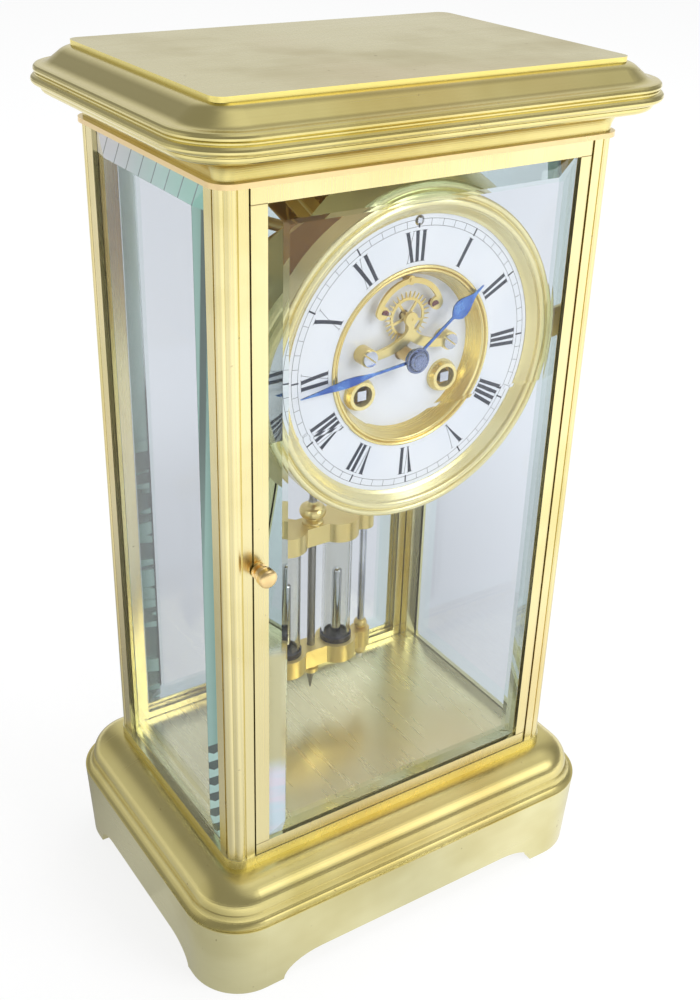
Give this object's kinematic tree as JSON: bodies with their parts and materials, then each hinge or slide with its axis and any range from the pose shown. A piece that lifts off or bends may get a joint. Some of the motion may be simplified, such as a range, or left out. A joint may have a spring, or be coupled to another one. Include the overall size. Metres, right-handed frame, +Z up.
{
  "type": "four-glass mantel clock",
  "caption": "Brass mantel clock with bevelled glass on all sides, an enamel dial with visible escapement and a two-jar pendulum.",
  "frame": {"origin": "middle of the foot plane, under the case", "axes": "+Z up, +X to the right seen from the front, the front faces -Y"},
  "size_m": [0.1986, 0.145, 0.3553],
  "materials": {
    "satin_brass": "lacquered satin brass",
    "polished_brass": "polished lacquered brass",
    "copper_brass": "copper-toned polished brass",
    "gilt": "fire-gilt, fine matt",
    "movement_brass": "grained brass",
    "crystal": "clear bevelled plate glass",
    "jar_glass": "clear blown glass",
    "enamel": "white vitreous enamel",
    "blued_steel": "heat-blued and polished",
    "steel": "polished steel",
    "dark_steel": "dark polished steel",
    "ruby": "polished dark red stone",
    "mercury": "bright liquid metal"
  },
  "bodies": {
    "case": {"plinth": "satin_brass", "base_moulding": "satin_brass", "floor_plate": "copper_brass", "corner_pillars": "polished_brass", "side_glasses": "crystal", "top_frame": "copper_brass", "cornice": "polished_brass", "cap_moulding": "satin_brass", "top_slab": "satin_brass", "bezel": "gilt", "chapter_ring": "enamel", "gilt_ring": "gilt", "sunk_centre": "enamel", "winding_collets": "gilt", "dial_brackets": "copper_brass", "front_plate": "movement_brass", "back_plate": "movement_brass", "plate_pillars": "movement_brass", "escape_cock": "gilt", "cock_screws": "steel", "bell_stand": "steel", "bell": "polished_brass", "suspension_cock": "movement_brass"},
    "front_door": {"front_door_frame": "polished_brass", "front_door_glass": "crystal"},
    "front_catch": {"front_knob": "copper_brass"},
    "rear_door": {"rear_door_frame": "polished_brass", "rear_door_glass": "crystal"},
    "rear_catch": {"rear_knob": "copper_brass"},
    "pendulum": {"suspension_spring": "steel", "pendulum_rod": "gilt", "pendulum_yokes": "gilt", "side_rods": "steel", "ball_nuts": "gilt", "jars": "jar_glass", "jar_cups": "dark_steel", "mercury_columns": "mercury"},
    "rating": {"rating_nut": "gilt"},
    "pallets": {"anchor": "gilt", "pallet_jewels": "ruby", "crutch": "movement_brass"},
    "escape": {"escape_wheel": "gilt"},
    "third": {"third_wheel": "movement_brass"},
    "centre": {"centre_wheel": "movement_brass"},
    "second": {"second_wheel": "movement_brass"},
    "going": {"going_barrel": "movement_brass"},
    "going_winding": {"going_arbor": "steel"},
    "fly": {"fly": "movement_brass"},
    "warning": {"warning_wheel": "movement_brass"},
    "pins": {"pin_wheel": "movement_brass"},
    "strike": {"strike_barrel": "movement_brass"},
    "strike_winding": {"strike_arbor": "steel"},
    "minute": {"cannon_pinion": "steel", "minute_hand": "blued_steel", "hand_collet": "dark_steel"},
    "motion": {"minute_wheel": "movement_brass"},
    "hour": {"hour_wheel": "movement_brass", "hour_hand": "blued_steel"},
    "striker": {"hammer": "movement_brass"},
    "rate": {"rate_arbor": "steel"}
  },
  "joints": [
    {"name": "front_door_swing", "type": "hinge", "parent": "case", "child": "front_door", "pos_m": [0.068, -0.05225, 0.19255], "axis": [0, 0, 1], "range_deg": [0, 95]},
    {"name": "front_knob_turn", "type": "hinge", "parent": "front_door", "child": "front_catch", "pos_m": [-0.0681, -0.054, 0.1915], "axis": [0, 1, 0], "range_deg": [-90, 0]},
    {"name": "rear_door_swing", "type": "hinge", "parent": "case", "child": "rear_door", "pos_m": [-0.068, 0.05225, 0.19255], "axis": [0, 0, 1], "range_deg": [0, 95]},
    {"name": "rear_knob_turn", "type": "hinge", "parent": "rear_door", "child": "rear_catch", "pos_m": [0.0681, 0.054, 0.1915], "axis": [0, 1, 0], "range_deg": [0, 90]},
    {"name": "pendulum_swing", "type": "hinge", "parent": "case", "child": "pendulum", "pos_m": [0, 0.021, 0.284], "axis": [0, 1, 0], "range_deg": [-1.8, 1.8]},
    {"name": "rating_nut_turn", "type": "hinge", "parent": "pendulum", "child": "rating", "pos_m": [0, 0.021, 0.08], "axis": [0, 0, 1], "continuous": true},
    {"name": "anchor_rock", "type": "hinge", "parent": "case", "child": "pallets", "pos_m": [0, -0.04, 0.284], "axis": [0, 1, 0], "range_deg": [-1.8, 1.8]},
    {"name": "escape_wheel_spin", "type": "hinge", "parent": "case", "child": "escape", "pos_m": [0, -0.04, 0.2699], "axis": [0, 1, 0], "continuous": true},
    {"name": "third_wheel_spin", "type": "hinge", "parent": "case", "child": "third", "pos_m": [-0.00766, -0.015, 0.26377], "axis": [0, 1, 0], "continuous": true},
    {"name": "centre_wheel_spin", "type": "hinge", "parent": "case", "child": "centre", "pos_m": [0, -0.015, 0.2559], "axis": [0, 1, 0], "continuous": true},
    {"name": "second_wheel_spin", "type": "hinge", "parent": "case", "child": "second", "pos_m": [0.00977, -0.015, 0.26292], "axis": [0, 1, 0], "continuous": true},
    {"name": "going_barrel_spin", "type": "hinge", "parent": "case", "child": "going", "pos_m": [0.0184, -0.015, 0.2432], "axis": [0, 1, 0], "continuous": true},
    {"name": "going_arbor_wind", "type": "hinge", "parent": "case", "child": "going_winding", "pos_m": [0.0184, -0.02, 0.2432], "axis": [0, 1, 0], "continuous": true},
    {"name": "fly_spin", "type": "hinge", "parent": "case", "child": "fly", "pos_m": [-0.01907, -0.015, 0.28072], "axis": [0, 1, 0], "continuous": true},
    {"name": "warning_wheel_spin", "type": "hinge", "parent": "case", "child": "warning", "pos_m": [-0.01529, -0.015, 0.27418], "axis": [0, 1, 0], "continuous": true},
    {"name": "pin_wheel_spin", "type": "hinge", "parent": "case", "child": "pins", "pos_m": [-0.02214, -0.015, 0.26439], "axis": [0, 1, 0], "continuous": true},
    {"name": "strike_barrel_spin", "type": "hinge", "parent": "case", "child": "strike", "pos_m": [-0.0184, -0.015, 0.2432], "axis": [0, 1, 0], "continuous": true},
    {"name": "strike_arbor_wind", "type": "hinge", "parent": "case", "child": "strike_winding", "pos_m": [-0.0184, -0.02, 0.2432], "axis": [0, 1, 0], "continuous": true},
    {"name": "minute_hand_turn", "type": "hinge", "parent": "case", "child": "minute", "pos_m": [0, -0.04, 0.2559], "axis": [0, 1, 0], "continuous": true},
    {"name": "minute_wheel_turn", "type": "hinge", "parent": "case", "child": "motion", "pos_m": [0, -0.033, 0.24744], "axis": [0, 1, 0], "continuous": true},
    {"name": "hour_hand_turn", "type": "hinge", "parent": "case", "child": "hour", "pos_m": [0, -0.04, 0.2559], "axis": [0, 1, 0], "continuous": true},
    {"name": "hammer_lift", "type": "hinge", "parent": "case", "child": "striker", "pos_m": [-0.0365, 0, 0.2599], "axis": [0, 1, 0], "range_deg": [-18, 0]},
    {"name": "rate_arbor_turn", "type": "hinge", "parent": "case", "child": "rate", "pos_m": [0, -0.02, 0.3061], "axis": [0, 1, 0], "range_deg": [-360, 360]}
  ],
  "couplings": [
    {"joint": "anchor_rock", "follows": "pendulum_swing", "ratio": 1},
    {"joint": "third_wheel_spin", "follows": "escape_wheel_spin", "ratio": -0.083333},
    {"joint": "centre_wheel_spin", "follows": "escape_wheel_spin", "ratio": 0.0069444},
    {"joint": "second_wheel_spin", "follows": "escape_wheel_spin", "ratio": -0.00092593},
    {"joint": "going_barrel_spin", "follows": "escape_wheel_spin", "ratio": 0.00015432},
    {"joint": "warning_wheel_spin", "follows": "fly_spin", "ratio": -0.11111},
    {"joint": "pin_wheel_spin", "follows": "fly_spin", "ratio": 0.011111},
    {"joint": "strike_barrel_spin", "follows": "fly_spin", "ratio": -0.0018519},
    {"joint": "minute_wheel_turn", "follows": "minute_hand_turn", "ratio": -0.33333},
    {"joint": "hour_hand_turn", "follows": "minute_hand_turn", "ratio": 0.083333}
  ]
}
